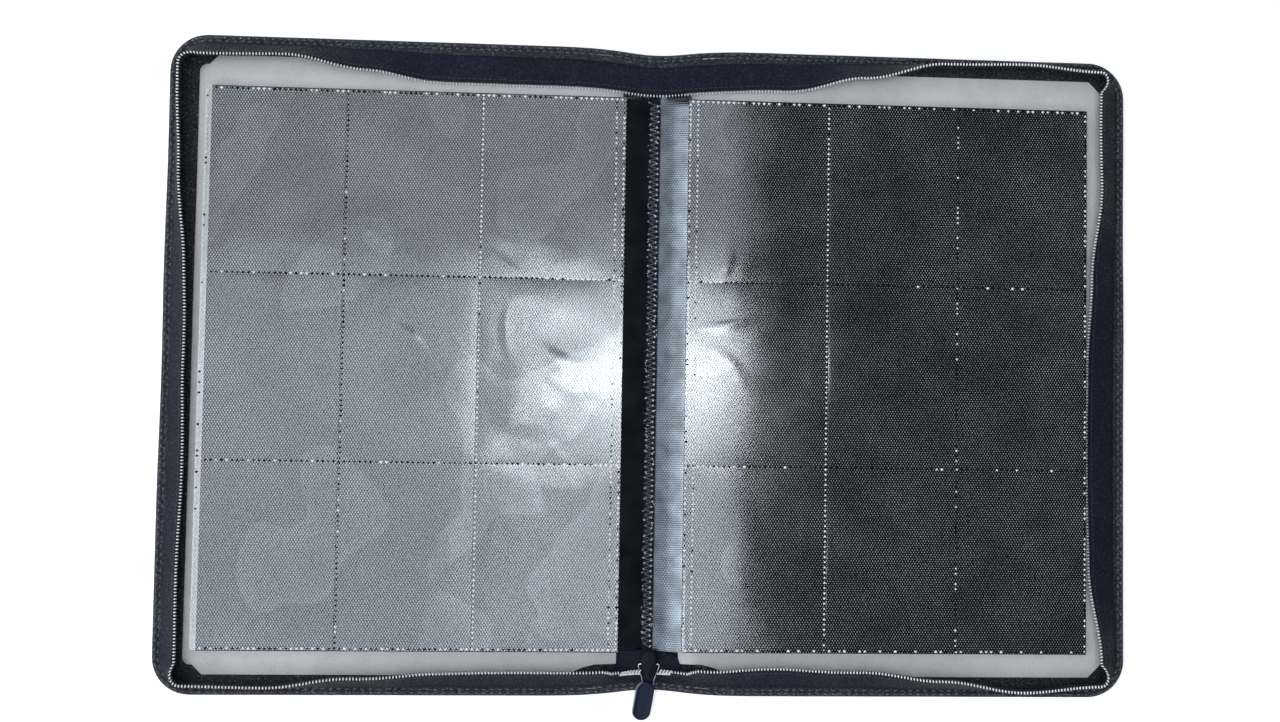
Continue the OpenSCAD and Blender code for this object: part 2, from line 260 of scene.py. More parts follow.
def closed_grid(nx, ny):
    """Faces of a closed sheet: a grid of points above, the same below, and the rim between them."""
    off = nx * ny
    faces = []
    for i in range(nx - 1):
        for j in range(ny - 1):
            a, b, c, d = i * ny + j, (i + 1) * ny + j, (i + 1) * ny + j + 1, i * ny + j + 1
            faces += [(a, b, c, d), (off + a, off + d, off + c, off + b)]
    rim = ([i * ny for i in range(nx)] + [(nx - 1) * ny + j for j in range(1, ny)]
           + [i * ny + ny - 1 for i in range(nx - 2, -1, -1)] + list(range(ny - 2, 0, -1)))
    return faces + [(a, off + a, off + b, b) for a, b in zip(rim, rim[1:] + rim[:1])]


def sheet_between(name, xs, ys, lie, z_range, mats):
    """A closed sheet over a grid, whose two faces stand at z_range from the height that lie gives."""
    gx, gy = np.meshgrid(xs, ys, indexing="ij")
    z = lie(gx, gy)
    verts = [np.stack([gx, gy, z + face], -1).reshape(-1, 3) for face in reversed(z_range)]
    return piece(name, np.concatenate(verts), closed_grid(len(xs), len(ys)), mats)


def distance_along(points):
    """How far along a path each of its points lies."""
    return np.concatenate([[0], np.cumsum(np.linalg.norm(np.diff(points, axis=0), axis=1))])


# ---- materials ----

def material(name):
    """A new material and its shader node. The helpers below add nodes to the tree of what they are given."""
    mat = bpy.data.materials.new(name)
    mat.use_nodes = True
    return mat, mat.node_tree.nodes["Principled BSDF"]


def link(output, socket):
    socket.id_data.links.new(output, socket)


def put(node, values):
    """Sets a node's sockets by name."""
    for name, value in values.items():
        node.inputs[name].default_value = value


def math_node(op, a, b=None):
    n = a.id_data.nodes.new("ShaderNodeMath")
    n.operation = op
    for i, v in enumerate([a] if b is None else [a, b]):
        if isinstance(v, (int, float)):
            n.inputs[i].default_value = v
        else:
            link(v, n.inputs[i])
    return n.outputs[0]


def weighted(*terms):
    """The sum of pairs of a value and its weight."""
    total = None
    for value, weight in terms:
        part = value if weight == 1 else math_node("MULTIPLY", value, weight)
        total = part if total is None else math_node("ADD", total, part)
    return total


def coords(node):
    """Object coordinates, in millimetres, as a vector and as separate axes."""
    nodes = node.id_data.nodes
    scale = nodes.new("ShaderNodeVectorMath")
    scale.operation = "SCALE"
    put(scale, {"Scale": 1 / MM})
    link(nodes.new("ShaderNodeTexCoord").outputs["Object"], scale.inputs[0])
    axes = nodes.new("ShaderNodeSeparateXYZ")
    link(scale.outputs[0], axes.inputs[0])
    return scale.outputs[0], axes.outputs["X"], axes.outputs["Y"], axes.outputs["Z"]


def noise(vector, length, detail=2.0, rough=0.5):
    n = vector.id_data.nodes.new("ShaderNodeTexNoise")
    put(n, {"Scale": 1 / length, "Detail": detail, "Roughness": rough})
    link(vector, n.inputs["Vector"])
    return n.outputs["Fac"]


def ramp(fac, stops):
    n = fac.id_data.nodes.new("ShaderNodeValToRGB")
    el = n.color_ramp.elements
    while len(el) < len(stops):
        el.new(0.5)
    for e, (pos, col) in zip(el, stops):
        e.position = pos
        e.color = (*col, 1)
    link(fac, n.inputs["Fac"])
    return n.outputs["Color"]


def shade(node, socket, fac, stops):
    """Feeds a node's socket from a ramp."""
    link(ramp(fac, stops), node.inputs[socket])


def grey(v):
    return (v, v, v)


def bump(shader, height, distance_mm, strength=1.0):
    b = shader.id_data.nodes.new("ShaderNodeBump")
    put(b, {"Strength": strength, "Distance": distance_mm * MM})
    link(height, b.inputs["Height"])
    link(b.outputs["Normal"], shader.inputs["Normal"])


def wave(value, pitch):
    """A cosine of a coordinate in millimetres, from -1 to 1."""
    return math_node("COSINE", math_node("MULTIPLY", value, 2 * math.pi / pitch))


def dot_lattice(x, y):
    """The staggered woven dots of the leaves and margins, from -1 to 1."""
    return math_node("MULTIPLY", wave(x, DOT_X), wave(y, DOT_Y))


def cloth(name, dark, mid, fleck, pitch=1.1, diagonal=False, rough=0.55, spec=0.5, fleck_at=0.60,
          depth=0.15):
    """Woven cloth: crossed threads or a twill, mottled, with pale flecks painted into the colour as highlights
    where threads catch the light.
    """
    mat, shader = material(name)
    vec, x, y, z = coords(shader)
    if diagonal:
        warp = wave(weighted((x, 1), (y, 1), (z, 1)), pitch)
        weft = wave(weighted((x, 1), (y, -1)), pitch * 2.1)
    else:
        warp = wave(x, pitch)
        weft = wave(weighted((y, 1), (z, 1)), pitch)
    weave = math_node("MULTIPLY", warp, weft)
    mottle = noise(vec, 16, 3)
    grain = noise(vec, 1.15, 2, 0.65)
    fine = noise(vec, 0.4, 1)
    tone = weighted((weave, 0.07), (mottle, 0.13), (grain, 0.60), (fine, 0.22))
    # The flecks' palest tone is a painted highlight.
    bright = [min(1, 4 * c) for c in fleck]
    shade(shader, "Base Color", tone, [(0.34, dark), (fleck_at - 0.08, mid), (fleck_at - 0.02, mid),
                                       (fleck_at + 0.07, fleck), (fleck_at + 0.15, bright)])
    shade(shader, "Roughness", tone, [(0.36, grey(0.95)), (fleck_at - 0.04, grey(rough + 0.15)),
                                      (fleck_at + 0.06, grey(rough))])
    put(shader, {"Specular IOR Level": spec})
    bump(shader, weighted((weave, 0.4), (grain, 1)), depth)
    return mat


def lining_material():
    mat, shader = material("lining_cloth")
    vec = coords(shader)[0]
    fleck = noise(vec, 0.8, 3, 0.75)
    cloud = noise(vec, 9, 3)
    tone = weighted((fleck, 0.7), (cloud, 0.3))
    shade(shader, "Base Color", tone,
          [(0.30, (0.47, 0.47, 0.50)), (0.5, (0.62, 0.62, 0.64)), (0.7, (0.70, 0.69, 0.71))])
    put(shader, {"Roughness": 0.9})
    bump(shader, tone, 0.15, 0.6)
    return mat


def backing_material(name, coat=0.0):
    """Black backing with a staggered lattice of raised woven dots, bare or under film; the dots' pale colour
    is a painted glint where they catch the light.
    """
    mat, shader = material(name)
    vec, x, y = coords(shader)[:3]
    lattice = dot_lattice(x, y)
    cloud = noise(vec, 24, 3)
    grain = noise(vec, 0.7, 1)
    tone = weighted((lattice, 0.45), (cloud, 0.2), (grain, 0.14))
    # The ramp's pale top, on the dots, is a painted glint.
    shade(shader, "Base Color", tone, [(0.12, (0.001, 0.001, 0.003)), (0.38, (0.003, 0.004, 0.009)),
                                       (0.46, (0.05, 0.055, 0.085)), (0.60, (0.75, 0.76, 0.82))])
    shade(shader, "Roughness", lattice, [(0.0, grey(0.85)), (1.0, grey(0.4))])
    put(shader, {"Specular IOR Level": 0.25, "Coat Weight": coat, "Coat Roughness": 0.12})
    bump(shader, lattice, 0.12, 0.5)
    return mat


def film_material():
    """Clear film: mostly see-through, bright where it mirrors, and paler where it clings to the backing."""
    mat, shader = material("pocket_film")
    alpha, rough = 0.06, 0.07
    vec, x, y = coords(shader)[:3]
    put(shader, {"Base Color": (0.80, 0.88, 0.95, 1), "Metallic": 1.0})
    haze = noise(vec, 26, 3)
    shade(shader, "Roughness", haze, [(0.3, grey(rough)), (0.7, grey(rough * 2.0))])
    cling = noise(vec, 58, 1.2, 0.35)
    cover = ramp(cling, [(at, grey(alpha * share)) for at, share in (
        (0.28, 1.0), (0.40, 1.10), (0.425, 1.17), (0.435, 0.92), (0.62, 1.0), (0.70, 1.12))])
    # The film lies closer to the raised dots than between them.
    dots = math_node("ADD", math_node("MULTIPLY", dot_lattice(x, y), 0.55), 1.0)
    link(math_node("MULTIPLY", cover, dots), shader.inputs["Alpha"])
    return mat


def plain(name, color, rough, metallic=0.0, spec=0.5, grain=0.0):
    """A moulded or metal finish with slight mottling in its colour and gloss."""
    mat, shader = material(name)
    vec = coords(shader)[0]
    n = noise(vec, 1.6, 4, 0.6)
    lo, hi = [c * 0.82 for c in color], [min(1, c * 1.15) for c in color]
    shade(shader, "Base Color", n, [(0.3, lo), (0.7, hi)])
    shade(shader, "Roughness", n, [(0.3, grey(rough * 0.85)), (0.7, grey(min(1, rough * 1.2)))])
    put(shader, {"Metallic": metallic, "Specular IOR Level": spec})
    if grain:
        bump(shader, noise(vec, 0.25, 2), grain)
    return mat


def satin(name, color, rough):
    """Glossy margin cloth: fine ribs across it and the leaves' dot lattice, dark until it faces the light."""
    mat, shader = material(name)
    vec, x, y = coords(shader)[:3]
    lattice = dot_lattice(x, y)
    rib = wave(y, 1.1)
    tone = weighted((lattice, 0.10), (rib, 0.16), (noise(vec, 9, 3), 1))
    shade(shader, "Base Color", tone,
          [(at, [c * share for c in color]) for at, share in ((0.25, 0.55), (0.5, 1), (0.75, 1.4))])
    put(shader, {"Metallic": 1.0, "Roughness": rough})
    bump(shader, weighted((lattice, 1), (rib, 1)), 0.05, 0.5)
    return mat


COVER_CLOTH = cloth("cover_cloth", (0.001, 0.002, 0.005), (0.006, 0.009, 0.021), (0.10, 0.105, 0.135),
                    rough=0.3, spec=0.55, fleck_at=0.54, depth=0.3)
TAPE_CLOTH = cloth("zip_tape_twill", (0.002, 0.004, 0.012), (0.004, 0.008, 0.024), (0.065, 0.09, 0.16),
                   pitch=1.0, diagonal=True, rough=0.45, spec=0.32, fleck_at=0.62, depth=0.2)
LINING = lining_material()
BACKING = backing_material("leaf_backing")
LEAF_FACE = backing_material("leaf_face", coat=0.9)
FILM = film_material()
FILM_EDGE = plain("film_edge", (0.56, 0.545, 0.55), 0.35)
# Weld dots painted white as glints, and near-black as shade.
WELD = plain("weld_dots", (0.93, 0.94, 0.97), 0.2, spec=1.0)
SHADED_WELD = plain("weld_dots_painted_shade", (0.006, 0.007, 0.012), 0.7, spec=0.1)
COIL = plain("zip_coil_nylon", (0.008, 0.010, 0.018), 0.35)
# The coil's heads are painted white as glints.
HEAD_GLINT = plain("zip_coil_heads_painted_glint", (0.98, 0.98, 0.99), 0.3, spec=1.0)
# Bare turns painted white as a broad highlight; the core cord beside them is white in its own right.
BARE_COIL_HIGHLIGHT_AND_CORE = plain("bare_coil_painted_highlight_and_core", (0.86, 0.87, 0.88), 0.35)
TAPE_THREAD = plain("zip_sewing_thread", (0.035, 0.045, 0.075), 0.6)
THREAD = cloth("topstitch_thread", (0.05, 0.055, 0.07), (0.17, 0.18, 0.21), (0.50, 0.51, 0.54),
               pitch=0.5, depth=0.05)
PALE_THREAD = plain("binding_thread", (0.74, 0.76, 0.80), 0.35, spec=0.9)
SHADED_THREAD = plain("binding_thread_shaded", (0.10, 0.11, 0.14), 0.5)
MARGIN = satin("satin_margin", (0.16, 0.185, 0.21), 0.22)
SLIDER = plain("slider_enamel", (0.004, 0.007, 0.016), 0.6, spec=0.15)
STEEL = plain("pull_wire_steel", (0.62, 0.64, 0.67), 0.22, metallic=1.0)
RUBBER = plain("pull_grip", (0.008, 0.016, 0.036), 0.5, spec=0.2, grain=0.03)
# Painted highlight for the grip's left-facing bevel.
RUBBER_HIGHLIGHT = plain("pull_grip_painted_highlight", (0.16, 0.19, 0.22), 0.3, spec=0.6)
BOARD = plain("stiffener_board", (0.24, 0.23, 0.21), 0.8)
FOAM = plain("foam_padding", (0.55, 0.55, 0.53), 0.95, grain=0.2)


def label(nodes):
    if nodes:
        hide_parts(*nodes)


def attach(ob, body, slot, *nodes):
    """Rides on one body, in place of these CAD nodes."""
    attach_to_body(ob, body)
    label(nodes)


def bend(ob, bodies, ends, slot, *nodes, axis=0):
    """Bakes the piece's placement into its mesh, in place of these CAD nodes. The bodies, the two places and
    the axis are not used.
    """
    label(nodes)
    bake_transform(ob)


def fold(ob, side, slot, *nodes):
    """Hands the piece to bend, with a cover and the spine as the bodies and the fold's two distances as the
    places.
    """
    bend(ob, (COVER[side], "spine"), (side * BEND_OUT, side * BEND_IN), slot, *nodes)


# ---- camera, lights and floor ----

def camera():
    data = bpy.data.cameras.new("camera")
    data.lens = 33.75
    data.sensor_width = 36
    ob = in_scene("camera", data)
    ob.location = (-0.0408, -0.0199, 0.6153)
    ob.rotation_euler = [math.radians(a) for a in (2.196, -3.233, 0.925)]
    bpy.context.scene.camera = ob


def mirrored_panel(name, x_range, y_range, height, radiance, color=(1, 1, 1)):
    """A ceiling panel placed so that the camera sees it mirrored in the leaves between these millimetres."""
    cam = bpy.context.scene.camera.location
    page = LEAF_Z[0] * MM
    up = (height - page) / (cam.z - page)
    xs = [x * MM + (x * MM - cam.x) * up for x in x_range]
    ys = [y * MM + (y * MM - cam.y) * up for y in y_range]
    width, depth = xs[1] - xs[0], ys[1] - ys[0]
    data = bpy.data.lights.new(name, "AREA")
    data.shape = "RECTANGLE"
    data.size, data.size_y = width, depth
    data.energy = radiance * math.pi * width * depth
    data.color = color
    ob = in_scene(name, data)
    ob.location = (sum(xs) / 2, sum(ys) / 2, height)
    ob.rotation_euler = Vector((0, 0, -1)).to_track_quat("-Z", "Y").to_euler()


def studio():
    """A wide soft ceiling panel on the left, and a horizon that is bright on the left too."""
    # The panels end at this X in their mirror image in the right leaf.
    edge = 42
    cool = (0.93, 0.97, 1.0)
    mirrored_panel("ceiling", (-430, edge), (-420, 400), 1.50, 1.5, cool)
    mirrored_panel("near_ceiling", (-430, edge), (-420, 52), 1.495, 0.8, cool)
    mirrored_panel("glow", (-88, edge), (-145, 46), 1.49, 0.7)
    mirrored_panel("window", (-84, edge), (-47, 44), 1.48, 2.4, (1.0, 0.97, 0.97))
    mirrored_panel("lamp", (-46, 34), (-22, 14), 1.47, 5.5)
    world = bpy.data.worlds.new("studio")
    world.use_nodes = True
    tree = world.node_tree
    direction = tree.nodes.new("ShaderNodeTexCoord")
    sep = tree.nodes.new("ShaderNodeSeparateXYZ")
    tree.links.new(direction.outputs["Generated"], sep.inputs[0])
    leftness = weighted((sep.outputs["X"], -0.8), (sep.outputs["Z"], -0.55))
    sky = tree.nodes["Background"]
    shade(sky, "Color", leftness, [(0.0, (0.030, 0.032, 0.042)), (0.45, (0.85, 0.92, 1.0))])
    put(sky, {"Strength": 1.2})
    bpy.context.scene.world = world
    bpy.context.scene.view_settings.view_transform = "Standard"
    mat, shader = material("floor")
    patches = noise(coords(shader)[0], 300, 2)
    shade(shader, "Base Color", patches, [(0.3, grey(0.86)), (0.7, grey(0.88))])
    put(shader, {"Roughness": 0.9, "Emission Color": (1, 1, 1, 1), "Emission Strength": 0.45})
    half, below = 3000, -0.02
    corners = [(-half, -half, below), (half, -half, below), (half, half, below), (-half, half, below)]
    floor = piece("floor", corners, [(0, 1, 2, 3)], [mat], smooth=False, solid=False)


# ---- covers ----

def end_dip(x):
    """How far the ends of the spine sit inside the covers' straight edges."""
    return DIP * np.exp(-(np.asarray(x, float) / DIP_REACH) ** 2)


def outline(inset, x0, side):
    """A cover's outline, so far in from its edge, with the same number of points for any inset."""
    x1, y1, r = EDGE_X - inset, EDGE_Y - inset, max(CORNER_R - inset, 0.6)
    xs = np.linspace(x0, x1 - r, SIDE_POINTS)
    turn = np.linspace(0, math.pi / 2, CORNER_POINTS + 2)[1:-1]
    pts = [(x, -y1) for x in xs]
    pts += [(x1 - r + r * math.sin(a), -y1 + r - r * math.cos(a)) for a in turn]
    pts += [(x1, y) for y in np.linspace(-y1 + r, y1 - r, SIDE_POINTS)]
    pts += [(x1 - r + r * math.cos(a), y1 - r + r * math.sin(a)) for a in turn]
    pts += [(x, y1) for x in xs[::-1]]
    pts += [(x0, y) for y in np.linspace(y1, -y1, SIDE_POINTS)[1:-1]]
    pts = np.array(pts)
    # The sewn edge wanders a little, as a real one does.
    drift = 0.35 * smooth_noise(pts[:, 0] * side, pts[:, 1], 11, 90, 1)
    pts[:, 0] += np.where(pts[:, 0] > x0 + 1, drift, 0) * min(1, 8 / (inset + 8))
    pts[:, 1] -= np.sign(pts[:, 1]) * end_dip(pts[:, 0]) * (np.abs(pts[:, 1]) / y1) ** 4
    return pts


def cover_shell(side):
    """Outer cloth rolled over the padded edge, with a groove along the topstitching."""
    z1 = COVER_TOP
    # Each ring: how far in from the edge, and how high.
    profile = [(16, 0.02), (6, 0.0), (2.2, 0.05), (1.0, 0.3), (0.3, 0.9), (0.0, 1.7), (0.0, 2.9), (0.25, 3.8),
               (0.8, z1 - 0.3), (1.6, z1 + 0.12), (2.4, z1 + 0.1), (3.0, z1 - 0.25), (3.4, z1 - 0.55),
               (3.8, z1 - 0.3), (4.3, z1 - 0.1), (7, z1 - 0.05), (9.5, z1 - 0.12), (14, z1 - 0.2),
               (16, z1 - 0.7)]
    rings = []
    for inset, z in profile:
        p = outline(inset, COVER_X0 - 0.15, side)
        puff = 0.12 * smooth_noise(p[:, 0] * side, p[:, 1], 5, 46) * (0.2 < z and inset < 12)
        rings.append(np.column_stack([p[:, 0] * side, p[:, 1], np.maximum(z + puff, 0)]))
    ob = skin(FACE[side] + "_cover_cloth", rings, [COVER_CLOTH])
    attach(ob, COVER[side], "cover_cloth", FACE[side] + "_cover_skin", FACE[side] + "_cover_hem")


def stitch_run(points, ups, length=1.8, gap=2.2, width=0.6, height=0.5):
    """Stitches along a path of points, each lifted by its own up direction."""
    along = distance_along(points)
    shapes = []
    s = gap
    while s + length < along[-1]:
        a, b = ([np.interp(t, along, points[:, k]) for k in range(3)] for t in (s, s + length))
        up = [np.interp(s, along, ups[:, k]) for k in range(3)]
        shapes.append(capsule(a, b, width, height, up))
        s += length + gap
    return shapes


# The rows of topstitching: their distance in from the edge, and how far below the cloth's top they lie.
STITCH_ROWS = ((3.4, 0.32), (1.8, -0.02))


def topstitch(side):
    n = 3 * SIDE_POINTS + 2 * CORNER_POINTS
    shapes = []
    for inset, drop_z in STITCH_ROWS:
        p = outline(inset, COVER_X0 + 0.4, side)[:n]
        pts = np.column_stack([p[:, 0] * side, p[:, 1], np.full(n, COVER_TOP - drop_z)])
        shapes += stitch_run(pts, np.tile([0, 0, 1.0], (n, 1)))
    attach(many(FACE[side] + "_cover_topstitch", shapes, [THREAD]), COVER[side], "cover_cloth")


def spine_edge(x):
    """How far the cloth reaches along Y, and how high its rolled edge is, between cover and spine."""
    t = np.clip((np.abs(x) - 4) / (BEND_OUT - 4), 0, 1)
    t = t * t * (3 - 2 * t)
    return EDGE_Y - end_dip(x), SPINE_TOP + 0.6 + (COVER_TOP - SPINE_TOP - 0.6) * t


def spine_cloth(side):
    """Half of the cloth over the spine, with its rolled ends and a pressed groove at the fold."""
    xs = np.concatenate([np.linspace(0, 14, 8), np.linspace(14.8, COVER_X0 + 0.3, 14)])
    rings = []
    for x in xs:
        y1, z1 = spine_edge(x)
        groove = 0.45 * math.exp(-((x - FOLD_X) / 1.6) ** 2)
        inner = 0.9 + groove * 0.6
        half = [(0, groove), (y1 * 0.35, groove), (y1 * 0.7, groove), (y1 - 6, groove),
                (y1 - 2.2, groove + 0.03), (y1 - 1.0, 0.3 + groove * 0.6), (y1 - 0.3, 0.9), (y1, 1.7),
                (y1 - 0.02, z1 - 1.6), (y1 - 0.3, z1 - 0.8), (y1 - 0.9, z1 - 0.2), (y1 - 1.8, z1 + 0.1),
                (y1 - 2.5, z1 + 0.08), (y1 - 3.0, z1 - 0.2), (y1 - 3.4, z1 - 0.45), (y1 - 3.9, z1 - 0.15),
                (y1 - 8, z1 - 0.1), (y1 - 11, z1 - 0.2), (y1 - 11.4, z1 - 0.6),
                (y1 - 11.6, inner)]
        section = half + [(0, inner)] + [(-y, z) for y, z in half[:0:-1]]
        rings.append([(x * side, y, z) for y, z in section])
    ob = skin(FACE[side] + "_spine_cloth", rings, [COVER_CLOTH])
    nodes = [FACE[side] + "_gutter_cloth"] + (["spine_skin"] if side > 0 else [])
    fold(ob, side, "cover_cloth", *nodes)


def spine_topstitch(side):
    shapes = []
    for end in (-1, 1):
        xs = np.linspace(COVER_X0 + 0.2, 0.6, 24)
        y1, z1 = spine_edge(xs)
        for inset, drop_z in STITCH_ROWS:
            pts = np.column_stack([xs * side, end * (y1 - inset), z1 - drop_z])
            shapes += stitch_run(pts, np.tile([0, 0, 1.0], (24, 1)))
    fold(many(FACE[side] + "_spine_topstitch", shapes, [THREAD]), side, "cover_cloth")


def lining_sheet(side):
    """Pale lining with cut corners, which runs over the fold on to the spine."""
    x_in, y1 = 15.0, LINING_Y
    x_out = LINING_X - LINING_SHORT[side]
    xs = np.concatenate([np.linspace(x_in, BEND_OUT, 12), np.linspace(27, x_out - LINING_CUT, 34),
                         np.linspace(x_out - LINING_CUT + 1.5, x_out, 6)])
    vs = np.linspace(-1, 1, 60)
    gx, gv = np.meshgrid(xs, vs, indexing="ij")
    # It narrows by this much at each end beside the spine.
    taper = 5.8
    near_fold = np.clip((46 - gx) / 20, 0, 1)
    corner = np.clip(gx - (x_out - LINING_CUT), 0, None)
    reach = y1 - corner - taper * near_fold * near_fold * (3 - 2 * near_fold)
    gy = gv * reach
    t = np.clip((gx - x_in) / (BEND_OUT - x_in), 0, 1)
    z_in, z_out = SPINE_TOP + 0.25, COVER_TOP + 0.12
    z = z_in + (z_out - z_in) * t * t * (3 - 2 * t) + 0.10 * smooth_noise(gx * side, gy, 21, 60)
    top = np.stack([gx * side, gy, z], -1).reshape(-1, 3)
    verts = np.concatenate([top, top - [0, 0, 0.4]])
    ob = piece(FACE[side] + "_lining", verts, closed_grid(len(xs), len(vs)), [LINING])
    fold(ob, side, "lining", FACE[side] + "_cover_lining")


# ---- zip tape ----

def keyed(keys, u):
    """The value of a list of keys at u from 0 to 1, eased between neighbours."""
    at = np.clip(u, 0, 1) * (len(keys) - 1)
    k = np.minimum(at.astype(int), len(keys) - 2)
    f = (1 - np.cos(math.pi * (at - k))) / 2
    keys = np.asarray(keys, float)
    return keys[k] * (1 - f) + keys[k + 1] * f


def tape_path(side, step=1.6):
    """Stations from the spine's top round a cover to the slider, and where its sections start and end.

    Each station is an edge point, its inward normal, the lean, the free width and the root's height.
    """
    top, fore, bottom = LEAN[side]
    cx, cy = EDGE_X - CORNER_R, EDGE_Y - CORNER_R
    x_start = COVER_X0 + 1
    n_top = int((cx - x_start) / step)
    n_arc = int(CORNER_R * math.pi / 2 / step)
    n_fore = int(2 * cy / step)
    n_in = int(x_start / step)
    rows = []

    def row(x, y, nx, ny, lean, width=TAPE_W, root_z=ROOT_Z):
        rows.append((x, y, nx, ny, lean, width, root_z))

    def corner(y, first, leans):
        for u in np.linspace(0, 1, n_arc, endpoint=False):
            nx, ny = math.cos(first - math.pi / 2 * u), math.sin(first - math.pi / 2 * u)
            row(cx + CORNER_R * nx, y + CORNER_R * ny, -nx, -ny, float(keyed(leans, np.array(u))))

    for x in np.linspace(0, x_start, n_in, endpoint=False):
        y1, z1 = spine_edge(x)
        row(x, y1, 0, -1, 89, TAPE_W, float(z1) + 0.35)
    for u in np.linspace(0, 1, n_top, endpoint=False):
        x = x_start + u * (cx - x_start)
        row(x, EDGE_Y - float(end_dip(x)), 0, -1, float(keyed(top, np.array(u))))
    corner(cy, math.pi / 2, (top[-1], fore[0]))
    fore_at = len(rows)
    for u in np.linspace(0, 1, n_fore, endpoint=False):
        row(EDGE_X, cy - 2 * u * cy, -1, 0, float(keyed(fore, np.array(u))))
    corner(-cy, 0, (fore[-1], bottom[0]))
    for u in np.linspace(0, 1, n_top, endpoint=False):
        x = cx - u * (cx - x_start)
        row(x, float(end_dip(x)) - EDGE_Y, 0, 1, float(keyed(bottom, np.array(u))))
    x_tail = 4.2
    for x in np.linspace(x_start, x_tail, int((x_start - x_tail) / step) + 1):
        y1, z1 = spine_edge(x)
        t = np.clip((x_start - x) / (x_start - x_tail), 0, 1)
        drop = t * t * (3 - 2 * t)
        lean = bottom[-1] + (TAIL_LEAN - bottom[-1]) * drop
        # The free width is what keeps the coil on a straight line to the slider.
        straight = (y1 - TAIL_Y - ROOT_IN - FLAT_PULL * (lean / 90) ** 2) / math.sin(math.radians(lean))
        row(x, -y1, 0, 1, lean, TAPE_W + (float(straight) - TAPE_W) * min(1, 4 * t),
            ROOT_Z + (float(z1) + 0.6 - ROOT_Z) * drop)
    rows = np.array(rows)
    s = np.arange(len(rows))
    rows[:, 4] += 2.0 * smooth_noise(s * step, 0 * s, 31 + side, 55, 1) * (rows[:, 4] < 84)
    rows[:, 0] *= side
    rows[:, 2] *= side
    n_fold = int((TAPE_FOLD_END - x_start) / step)
    marks = [0, n_in + n_fold, fore_at - n_arc // 2, fore_at + n_fore // 2, fore_at + n_fore + n_arc // 2,
             fore_at + n_fore + n_arc + n_top - n_fold, len(rows) - 1]
    return rows, marks


def on_blade(rows, along, across):
    """Points on the leaning tape: along it from the root, across towards the leaves."""
    a = np.radians(rows[:, 4])
    root = ROOT_IN + FLAT_PULL * (rows[:, 4] / 90) ** 2
    run = root + along * np.sin(a) + across * np.cos(a)
    lift = FLAT_LIFT * (rows[:, 4] / 90) ** 8 * np.clip(along / 4.0, 0, 1)
    z = rows[:, 6] + lift + along * np.cos(a) - across * np.sin(a)
    return np.column_stack([rows[:, 0] + rows[:, 2] * run, rows[:, 1] + rows[:, 3] * run, z])


def tape_rings(rows):
    """The tape's section: a foot on the cover, a soft curl at the root, then the blade, ruffled a little."""
    w = rows[:, 5]
    t = TAPE_T / 2
    s = np.arange(len(rows))
    ripple = 0.22 * np.sin(s * 0.9) * smooth_noise(s * 1.6, 0 * s, 77, 80, 1)
    outer = [(0.0, -t), (0.12, -t - 0.25), (0.35, -t - 0.35), (0.6, -t - 0.15), (0.85, -t), (0.955, -t)]
    inner = [(0.955, t), (0.85, t), (0.6, t - 0.15), (0.35, t - 0.35), (0.12, t - 0.25), (0.0, t)]
    cols = [on_blade(rows, f * w, o + ripple * f) for f, o in outer + inner]
    return np.stack(cols, 1)


def coil_turn(row, width, bare):
    """One turn of the coil, and the head past the tape's edge, painted white as a glint. A bare turn lies on
    top, slanted.
    """
    shape = [(-1.9, 0.45), (-0.5, 0.35), (0.35, 0.5), (0.7, 0.95), (0.35, 1.45), (-0.5, 1.6), (-1.9, 1.5),
             (-2.2, 1.0)]
    if bare:
        pts = [on_blade(row, width + 0.75 * (a + 1.9), -c)[0] for a, c in shape]
    else:
        pts = [on_blade(row, width - 0.6 + a, c)[0] for a, c in shape]
    n = np.array([row[0, 3], -row[0, 2], 0.0])
    skew = np.array([0, 0.1, 0.2, 0.25, 0.2, 0.1, 0, -0.1]) * (4.5 if bare else 1)
    pts = [p + n * k for p, k in zip(pts, skew)]
    centre = np.mean(pts, 0)
    wire = 0.26 if bare else 0.33
    rings = []
    for p in pts:
        out = (p - centre) / np.linalg.norm(p - centre)
        rings.append([p + wire * (out * math.cos(a) + n * math.sin(a)) for a in circle(5)])
    tip = on_blade(row, width + 0.25, 0.3)[0] + n * 0.2
    up = on_blade(row, width + 1.25, 0.3)[0] - on_blade(row, width + 0.25, 0.3)[0]
    side = np.cross(n, up)
    head = [[tip + up * h * 0.65 + r * (n * math.cos(a) * 0.42 + side * math.sin(a) * 0.85)
             for a in circle(6)]
            for h, r in ((-1.0, 0.5), (-0.4, 0.95), (0.3, 0.95), (0.85, 0.5))]
    return rings, head


